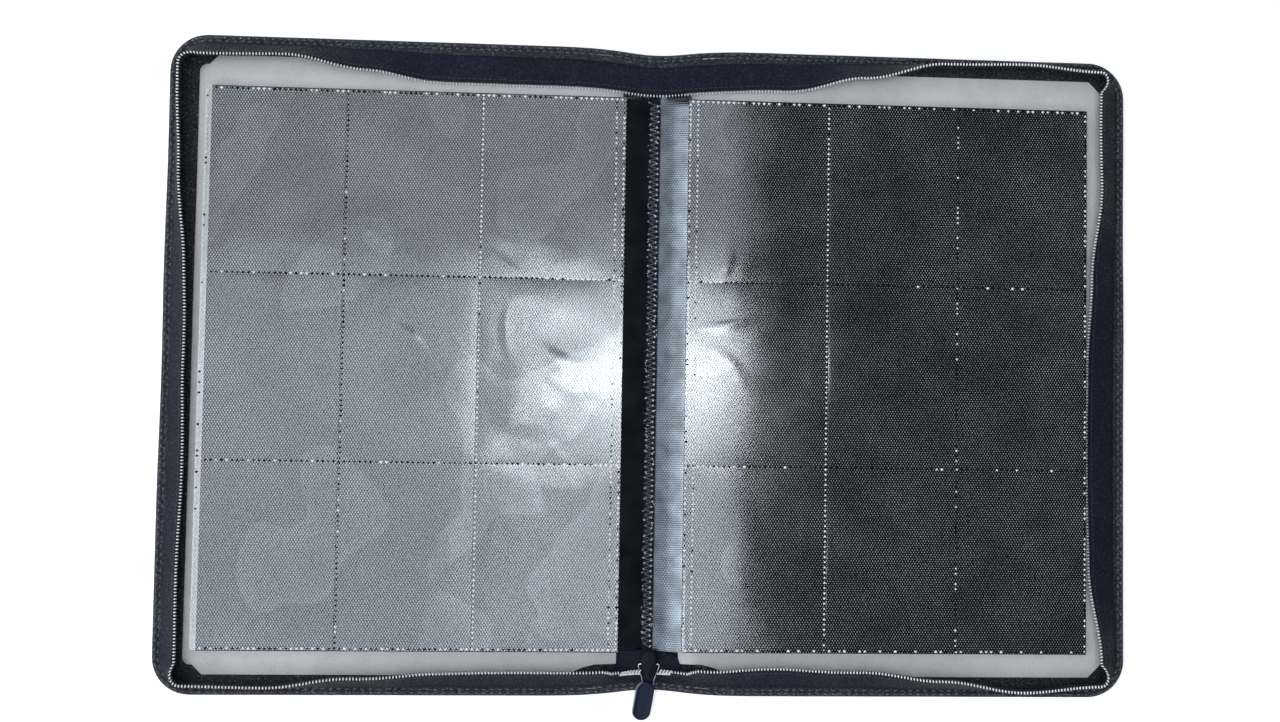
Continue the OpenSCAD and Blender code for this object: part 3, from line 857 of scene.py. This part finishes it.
def zip_section(side, rows, part, first, last):
    """Tape, coil and sewing thread between two stations."""
    section = rows[first:last + 1]
    name = f"{FACE[side]}_{part}"
    tape = skin(name + "_tape", tape_rings(section), [TAPE_CLOTH])
    length = distance_along(on_blade(rows, rows[:, 5], 0))
    turns, heads, bare = [], [], []
    k0, k1 = math.ceil(length[first] / COIL_PITCH), math.ceil(length[last] / COIL_PITCH)
    for k in range(k0, k1):
        at = np.interp(k * COIL_PITCH, length, np.arange(len(rows)))
        row = np.array([[np.interp(at, np.arange(len(rows)), column) for column in rows.T]])
        near_slider = row[0, 1] < 0 and abs(row[0, 0]) < BARE_X[side]
        ring, head = coil_turn(row, row[0, 5], near_slider)
        (bare if near_slider else turns).append(ring)
        if not near_slider:
            heads.append(head)
    by_slider = section[(section[:, 1] < 0) & (np.abs(section[:, 0]) < BARE_X[side])]
    core = [tube(on_blade(by_slider, by_slider[:, 5] - 0.4, -0.7), 0.5)] if len(by_slider) > 2 else []
    coil = merged(name + "_coil", [(turns, True, 0), (bare, True, 2), (core, False, 2), (heads, False, 1)],
                  [COIL, HEAD_GLINT, BARE_COIL_HIGHLIGHT_AND_CORE])
    seam = on_blade(section, section[:, 5] * 0.84, -TAPE_T / 2 - 0.05)
    lift = on_blade(section, section[:, 5] * 0.84, -TAPE_T / 2 - 1.05) - seam
    thread = many(name + "_thread", stitch_run(seam, lift, 1.9, 0.7, 0.32, 0.3), [TAPE_THREAD])
    return tape, coil, thread


def zip_tape(side):
    """The tape in sections, each with its CAD nodes: those beside the spine go to fold, the fore-edge's to
    bend, and the rest to attach.
    """
    rows, marks = tape_path(side)
    cover, face = COVER[side], FACE[side]

    def still(ob, slot, *nodes):
        attach(ob, cover, slot, *nodes)

    def folding(ob, slot, *nodes):
        fold(ob, side, slot, *nodes)

    def rising(end):
        return lambda ob, slot, *nodes: bend(
            ob, (cover, EDGE_ZIP[side]), (end * RISE_FROM, end * RISE_FULL), slot, *nodes, axis=1)

    # The zip over the spine is one CAD node for both sides, so the right side stands for it.
    bridge, tails, ends = (["zip_bridge"], ["zip_tails"], ["coil_ends"]) if side > 0 else ([], [], [])
    sections = [
        ("zip_top", folding, bridge, []),
        ("zip_upper", still, [face + "_zip_tape"], [face + "_zip_coil"]),
        ("edge_upper", rising(1), [face + "_edge_tape"], [face + "_edge_coil"]),
        ("edge_lower", rising(-1), [], []),
        ("zip_lower", still, [], []),
        ("zip_tail", folding, tails, ends),
    ]
    for (part, place, tape_nodes, coil_nodes), first, last in zip(sections, marks, marks[1:]):
        tape, coil, thread = zip_section(side, rows, part, first, last)
        place(tape, "tape", *tape_nodes)
        place(coil, "coil", *coil_nodes)
        place(thread, "tape")


# ---- leaves ----

def page_wave(x, y, side):
    """The gentle lie of a top leaf."""
    return 0.16 * smooth_noise(x, y, 3 + side, 150, 1) + 0.05 * smooth_noise(x, y, 13 + side, 50, 1)


def pillow(x, y):
    """How far a pocket's film stands off its backing: nothing at the welds, most in the middle."""
    u = np.clip((x - LEAF_X0 - WELD_STRIP) / POCKET_W, 0, POCKETS - 1e-6) % 1
    v = np.clip((y - LEAF_Y0 - 0.2) / POCKET_H, 0, POCKETS - 1e-6) % 1
    return (np.sin(math.pi * u) ** 0.6) * (np.sin(math.pi * v) ** 0.6)


def eased(a, b, n):
    """Stations from a to b that crowd towards both ends."""
    return (a + b) / 2 - (b - a) / 2 * np.cos(np.linspace(0, math.pi, n))


def creases(x, y, seed, count):
    """Short curved folds in a strip of film, which catch the light."""
    r = np.random.default_rng(seed)
    total = np.zeros(x.shape)
    for _ in range(count):
        cx, cy = r.uniform(x.min() + 6, x.max() - 6), r.uniform(LEAF_Y0 + 8, LEAF_Y1 - 8)
        a = r.uniform(0, math.pi)
        length = r.uniform(4, 13)
        width = r.uniform(1.3, 2.6)
        along = (x - cx) * math.cos(a) + (y - cy) * math.sin(a)
        across = (y - cy) * math.cos(a) - (x - cx) * math.sin(a) + r.uniform(-0.02, 0.02) * along ** 2
        total += r.uniform(0.08, 0.3) * np.exp(-(across / width) ** 2 - (along / length) ** 2)
    return total


def film_strip(side, k, name, up):
    """The film over one column of pockets, open along the side that faces the fore-edge."""
    x0 = LEAF_X0 + WELD_STRIP + k * POCKET_W + 0.05 if k else LEAF_X0 + 0.25
    x1 = LEAF_X0 + WELD_STRIP + (k + 1) * POCKET_W - 0.15 + (FILM_PAST[side] if k == POCKETS - 1 else 0)
    welds = [LEAF_Y0 + 0.4] + [LEAF_Y0 + 0.2 + n * POCKET_H for n in (1, 2)] + [LEAF_Y1 - 0.4]
    dense = up > 0
    xs = eased(x0, x1, 48 if dense else 24)
    ys = np.unique(np.concatenate([eased(a, b, 72 if dense else 24) for a, b in zip(welds, welds[1:])]))
    level = TOP_Z + (BACKING_T + 0.06 if dense else -0.06)
    calm = FILM_RIPPLE[side][k]
    folds = creases(*np.meshgrid(xs * side, ys, indexing="ij"), 70 + side + 3 * k, FILM_CREASES[side][k])

    def lie(x, y):
        x = x * side
        wrinkle = 0.30 + calm * (0.22 * smooth_noise(x, y, 40 + side + 5 * k, 60)
                                 + 0.05 * smooth_noise(x, y, 90 + side + k, 19))
        lift = np.clip(pillow(x, y) * (wrinkle + (folds if dense else 0)), 0.0, 0.95)
        return level + page_wave(x, y, side) + up * lift * (1 if dense else 0.3)

    return sheet_between(name, xs * side, ys, lie, (-0.03, 0.03), [FILM])


def top_leaf(side):
    body = f"{HAND[side]}_leaf_01"
    xs, ys = np.linspace(LEAF_X0, LEAF_X1 - CLEAR_EDGE[side], 64), np.linspace(LEAF_Y0, LEAF_Y1, 84)
    back = sheet_between(body + "_backing_sheet", xs * side, ys,
                         lambda x, y: TOP_Z + page_wave(x * side, y, side), (0, BACKING_T), [BACKING])
    attach(back, body, "backing", body + "_backing")
    for face_name, up in (("front", 1), ("back", -1)):
        for k in range(POCKETS):
            strip = film_strip(side, k, f"{body}_{face_name}_pocket_{k + 1}", up)
            attach(strip, body, "pocket_film", *([f"{body}_{face_name}_film"] if k == 0 else []))
    weld_dots(side, body, body, TOP_Z + BACKING_T + 0.10, 1.0)


def weld_dots(side, name, body, level, rise):
    """Rows of small pressed dots where film and backing are welded: some painted white as glints, the rest
    painted near-black as shade.
    """
    columns = [LEAF_X0 + WELD_STRIP + k * POCKET_W - 0.9 for k in range(POCKETS)]
    xs = [LEAF_X0 + 1.0] + columns + [LEAF_X1 - 1.3 + FILM_PAST[side] + 0.3 * (side < 0)]
    ys = [LEAF_Y0 + 1.2] + [LEAF_Y0 + 0.2 + k * POCKET_H for k in (1, 2)] + [LEAF_Y1 - 1.2]
    pitch = 2.6
    bright, dark = [], []
    r = np.random.default_rng(side + 5)

    def dot(x, y, long_x, shine):
        z = level + rise * float(page_wave(x * side, y, side))
        rx, ry = (0.72, 0.62) if long_x else (0.58, 0.56)
        grow = r.uniform(0.8, 1.15)
        rings = [[(side * (x + rx * s * grow * math.cos(a)), y + ry * s * grow * math.sin(a), z + h * rise)
                  for a in circle(6)] for s, h in ((1.0, 0.0), (0.8, 0.2), (0.3, 0.3))]
        (bright if r.random() < shine else dark).append(rings)

    # How often each column's dots take the painted glint.
    shine_x = {-1: [0.75, 0.75, 0.95, 0.15, 0.8], 1: [0.8, 0.9, 0.98, 0.25, 0.55]}[side]
    for x, shine in zip(xs, shine_x):
        for y in np.arange(LEAF_Y0 + 1.6, LEAF_Y1 - 1, pitch):
            dot(x, y, False, shine)
    for y, shine in zip(ys, (0.4, 0.1, 0.1, 0.45)):
        for x in np.arange(LEAF_X0 + 2.2, LEAF_X1 - 1.5, pitch):
            # Near the binding more dots take the painted glint.
            dot(x, y, True, shine + 0.6 * math.exp(-((x - LEAF_X0) / 30) ** 2))
    ob = merged(name + "_welds", [(bright, False, 0), (dark, False, 1)], [WELD, SHADED_WELD])
    attach(ob, body, "pocket_film")


def stack_leaf(side, level):
    """A leaf under the top one: a closed sheet whose film edges show at the sides of the stack."""
    name = f"{HAND[side]}_leaf_{level:02d}"
    r = np.random.default_rng(100 * level + side + 1)
    dx, dy = r.uniform(-0.7, 0.3), r.uniform(-0.5, 0.5)
    x0, x1, y0, y1 = LEAF_X0, LEAF_X1 + dx + FILM_PAST[side], LEAF_Y0 + dy, LEAF_Y1 + dy
    z0 = LEAF_Z[level - 1]
    face_z = z0 + LEAF_T - 0.12
    clear = LEAF_X1 - CLEAR_EDGE[side]
    xs, ys = np.append(np.linspace(x0, clear, 26), x1), np.linspace(y0, y1, 34)

    def lie(x, y):
        edge = np.clip((np.abs(y - PAGE_Y) - 110) / 30, 0, 1) + np.clip((np.abs(x) - 190) / 30, 0, 1)
        return 0.05 * edge * smooth_noise(x, y, 60 + level, 45, 1)

    ob = sheet_between(name + "_sheet", xs * side, ys, lie, (z0 + 0.06, face_z), [LEAF_FACE, FILM_EDGE])
    for poly in ob.data.polygons:
        if abs(poly.normal.z) < 0.5 or abs(poly.center.x) > clear * MM:
            poly.material_index = 1
    attach(ob, PAGES[side], "leaf", name)
    if level == 2:
        weld_dots(side, name, PAGES[side], face_z - 0.04, 0.3)


def margin_strip(side, name, x_range, whole, z_range, thick, y_end, rows=72):
    """A strip of margin cloth, part of a sheet that climbs from the binding to its leaf."""
    xs = np.linspace(*x_range, max(4, int((x_range[1] - x_range[0]) / 0.9)))
    ys = np.linspace(LEAF_Y0 + 0.3, y_end, rows)
    climb = z_range[1] - z_range[0]

    def lie(x, y):
        t = (np.abs(x) - whole[0]) / (whole[1] - whole[0])
        # The right one is convex, and the left one is nearly straight.
        rise = np.sin(math.pi / 2 * t) if side > 0 else t + 0.05 * np.sin(math.pi * t)
        dive = 1 - 0.75 * np.clip((y - LEAF_Y1) / 3.2, 0, 1)
        z = z_range[0] + climb * rise * dive
        return z + 0.10 * np.sin(math.pi * np.clip(t, 0, 1)) * smooth_noise(x, y, 8, 40, 1)

    return sheet_between(name, xs * side, ys, lie, (-thick / 2, thick / 2), [MARGIN])


def margins(side):
    hand, pages = HAND[side], PAGES[side]
    bound = ("spine", pages), (side * 4.0, side * 15.0)
    for level in range(2, 11):
        whole = (3.4, LEAF_X0 + 1.5)
        z_range = (SPINE_TOP + 0.4 + 0.13 * (10 - level), LEAF_Z[level - 1] + LEAF_T / 2)
        name = f"{hand}_margin_{level:02d}"
        ob = margin_strip(side, name, whole, whole, z_range, 0.22, LEAF_Y1 - 0.3, rows=18)
        bend(ob, *bound, "margin_cloth", *([FACE[side] + "_margins"] if level == 2 else []))
    # The top leaf's margin is made as two strips, which meet here.
    split = 8.4
    whole = (1.3 if side > 0 else 3.7, LEAF_X0 + 1.6)
    z_range = (SPINE_TOP + 1.75, LEAF_Z[0] + LEAF_T / 2)
    body = f"{hand}_leaf_01"
    root = margin_strip(side, body + "_margin_root", (whole[0], split), whole, z_range, 0.3, LEAF_Y1 + 3.2)
    bend(root, *bound, "margin_cloth")
    tip = margin_strip(side, body + "_margin_tip", (split, whole[1]), whole, z_range, 0.3, LEAF_Y1 + 3.2)
    bend(tip, (pages, body), (side * split, side * LEAF_X0), "margin_cloth", body + "_margin")


# ---- spine fittings ----

def zigzag():
    """Pale zigzag thread that sews the margins down, with knots at its turns and loose fibres; the runs
    between the turns and most fibres are painted dark as shade.
    """
    r = np.random.default_rng(23)
    z = high("binding_strip")[2] + 0.3
    pale, dim = [], []
    last = None
    for i, y in enumerate(np.arange(LEAF_Y0 + 2, LEAF_Y1 - 1.2, 1.35)):
        right = i % 2 == 0
        here = np.array([(0.5 if right else -3.2) + r.uniform(-0.35, 0.35), y, z + r.uniform(0, 0.3)])
        if last is not None:
            # The run between two turns is painted dark as shade.
            dim.append(capsule(last, here, 0.5, 0.5, (0, 0, 1)))
        if right or r.random() < 0.45:
            a = r.uniform(0, 2 * math.pi)
            knot = np.array([math.cos(a), math.sin(a), 0.1]) * (0.55 if right else 0.35)
            pale.append(capsule(here - knot, here + knot, 0.75, 0.75, (0, 0, 1)))
        for _ in range(2):
            a = r.uniform(0, 2 * math.pi)
            root = here + [r.uniform(-1.0, 0.8), r.uniform(-0.8, 0.8), 0.1]
            tip = root + [r.uniform(0.6, 1.5) * math.cos(a), r.uniform(0.6, 1.5) * math.sin(a),
                          r.uniform(0.2, 0.5)]
            (pale if r.random() < 0.4 else dim).append(capsule(root, tip, 0.3, 0.3, (0.1, 0.2, 1)))
        last = here
    ob = merged("binding_zigzag", [(pale, False, 0), (dim, False, 1)], [PALE_THREAD, SHADED_THREAD])
    attach(ob, "spine", "thread", "binding_stitch")


def soft_block(name, outline_pts, z0, z1, mats, bevel=0.35, crown=0.0):
    """A flat cloth part from its outline, with rounded edges and a slight crown."""
    p = np.asarray(outline_pts, float)
    c = p.mean(0)
    rings = []
    for inset, z in ((bevel * 1.4, z0), (0, z0 + bevel), (0, z1 - bevel), (bevel * 0.45, z1 - bevel * 0.3),
                     (bevel * 1.4, z1), (bevel * 5, z1 + crown)):
        q = c + (p - c) * (1 - inset / np.linalg.norm(p - c, axis=1).mean())
        rings.append(np.column_stack([q, np.full(len(q), z)]))
    return skin(name, rings, mats)


def subdivide_outline(pts, step=1.0):
    out = []
    for a, b in zip(pts, pts[1:] + pts[:1]):
        a, b = np.array(a, float), np.array(b, float)
        n = max(1, int(np.linalg.norm(b - a) / step))
        out += [tuple(a + (b - a) * k / n) for k in range(n)]
    return out


def flat_cloth(node, name, bevel):
    """A plain sheet in the box of a CAD node."""
    lo, hi = low(node), high(node)
    corners = [(lo[0], lo[1]), (hi[0], lo[1]), (hi[0], hi[1]), (lo[0], hi[1])]
    ob = soft_block(name, subdivide_outline(corners, 6), lo[2], hi[2], [TAPE_CLOTH], bevel)
    attach(ob, "spine", "tape", node)


def binding():
    flat_cloth("binding_strip", "binding_strip_cloth", 0.35)
    tab = [(-16.4, -158.5), (16.6, -158.5), (16.4, -150.0), (14.4, -145.0), (5.5, -141.9), (0, -140.9),
           (-5, -141.0), (-13.0, -142.4), (-16.4, -142.8)]
    z0, z1 = SPINE_TOP - 0.05, high("end_gusset")[2] + 0.35
    flap = soft_block("end_tab_cloth", subdivide_outline(tab, 1.5), z0, z1, [TAPE_CLOTH], 0.3, 0.15)
    attach(flap, "spine", "tape", "end_gusset")
    flat_cloth("spine_lining", "spine_lining_cloth", 0.15)


def drop(grow=0.0, steps=16):
    """The slider's outline, grown or shrunk: a round shoulder that narrows to a round tip."""
    lo, hi = low("slider_body"), high("slider_body")
    radius = (hi[0] - lo[0]) / 2
    reach = (hi[1] - lo[1]) - radius - 1.2
    y0 = hi[1] - radius
    r, tip = radius + grow, 1.2 + grow
    a = math.asin((r - tip) / reach)
    head = np.linspace(-a, math.pi + a, 2 * steps)
    foot = np.linspace(math.pi + a, 2 * math.pi - a, steps)
    return np.array([(r * math.cos(t), y0 + r * math.sin(t)) for t in head]
                    + [(tip * math.cos(t), y0 - reach + tip * math.sin(t)) for t in foot])


def slider_ring(grow, z):
    """The slider's outline at one height. Where its tip would vanish, the outline shrinks evenly instead."""
    least = -1.1
    p = drop(max(grow, least))
    if grow < least:
        p = p.mean(0) + (p - p.mean(0)) * (1 + (grow - least) / 4.6)
    return np.column_stack([p, np.full(len(p), z)])


def slider():
    """Two plates with a post between them."""
    y1 = high("slider_body")[1]
    z0, z1 = low("slider_body")[2], high("slider_body")[2]
    lower = [(-0.5, z0), (0, z0 + 0.3), (0, z0 + 0.8), (-0.4, z0 + 1.0)]
    upper = [(-0.5, z1 - 2.8), (0, z1 - 2.4), (0.05, z1 - 1.5), (-0.2, z1 - 0.9), (-0.8, z1 - 0.4),
             (-1.7, z1 - 0.15), (-2.6, z1 - 0.05), (-3.4, z1)]
    plates = [[slider_ring(grow, z) for grow, z in levels] for levels in (lower, upper)]
    post = [[(1.7 * math.cos(a), y1 - 4.4 + 1.7 * math.sin(a), z) for a in circle(16)]
            for z in (z0 + 0.9, z1 - 2.6)]
    attach(many("zip_slider", plates + [post], [SLIDER]), "spine", "slider", "slider_body")


def tab_point(x, y, z):
    """From the tab's own frame, which runs down -Y from its top end, to the world's, in millimetres."""
    a, b = math.radians(TAB_SLOPE), math.radians(-TAB_LEAN)
    y, z = y * math.cos(a) - z * math.sin(a), y * math.sin(a) + z * math.cos(a)
    x, y = x * math.cos(b) - y * math.sin(b), x * math.sin(b) + y * math.cos(b)
    return (x + TAB_TOP[0], y + TAB_TOP[1], z + TAB_TOP[2])


def pull():
    """The wire's two bent ends, hooked into the slider, and the rubber grip with its raised rim."""
    hi = high("pull_wire")
    radius = 0.34
    pivot_y, pivot_z = hi[1] - 0.65, hi[2] - 0.65
    x_out = hi[0] - 0.98
    wires = []
    for side in (-1, 1):
        knots = np.array([
            (side * (x_out - 1.8), pivot_y, pivot_z), (side * x_out, pivot_y, pivot_z),
            (side * (x_out + 0.2), pivot_y - 1.2, pivot_z - 0.15),
            (side * 2.9 + 0.1, -156.5 + side * 0.4, 6.15), (side * 2.7 - 0.4, -159.6, 4.9)])
        t = np.linspace(0, 1, 28)
        path = np.column_stack([np.interp(t, np.linspace(0, 1, len(knots)), axis) for axis in knots.T])
        for _ in range(3):
            path[1:-1] = (path[:-2] + path[1:-1] * 2 + path[2:]) / 4
        wires.append(tube(path, radius, 10))
    attach(many("pull_wire_loop", wires, [STEEL]), "pull", "wire", "pull_wire")

    def bar(inset, z):
        r = TAB_W / 2 - inset
        pts = [(r * math.cos(a), r * math.sin(a) - TAB_W / 2) for a in np.linspace(0, math.pi, 20)]
        pts += [(r * math.cos(a), TAB_W / 2 - TAB_L + r * math.sin(a))
                for a in np.linspace(math.pi, 2 * math.pi, 20)]
        return [tab_point(x, y, z) for x, y in pts]

    top = TAB_T / 2
    rings = [bar(inset, z) for inset, z in (
        (0.9, -top), (0.25, 0.15 - top), (0, 0.6 - top), (0, top - 0.6), (0.2, top - 0.2), (0.55, top),
        (0.95, top - 0.05), (1.25, top - 0.4), (1.5, top - 0.55), (2.4, top - 0.52), (3.6, top - 0.5))]
    grip = skin("pull_tab_grip", rings, [RUBBER, RUBBER_HIGHLIGHT])
    mid_x = np.mean([v.co.x for v in grip.data.vertices])
    # Faces on the left half that face left are painted pale as a highlight from the light on the left.
    for poly in grip.data.polygons:
        poly.material_index = int(poly.normal.x < -0.3 and poly.center.x < mid_x)
    attach(grip, "pull", "pull_tab", "pull_tab")


def inner_parts():
    """The CAD pieces inside the covers keep their shape and get their finish."""
    for node, mat in (("back_cover_board", BOARD), ("front_cover_board", BOARD), ("spine_board", BOARD),
                      ("back_cover_foam", FOAM), ("front_cover_foam", FOAM)):
        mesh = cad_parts[node].data
        mesh.materials.clear()
        mesh.materials.append(mat)


camera()
studio()
for s in (1, -1):
    cover_shell(s)
    topstitch(s)
    spine_cloth(s)
    spine_topstitch(s)
    lining_sheet(s)
    zip_tape(s)
    top_leaf(s)
    for lv in range(2, 11):
        stack_leaf(s, lv)
    margins(s)
zigzag()
binding()
slider()
pull()
inner_parts()
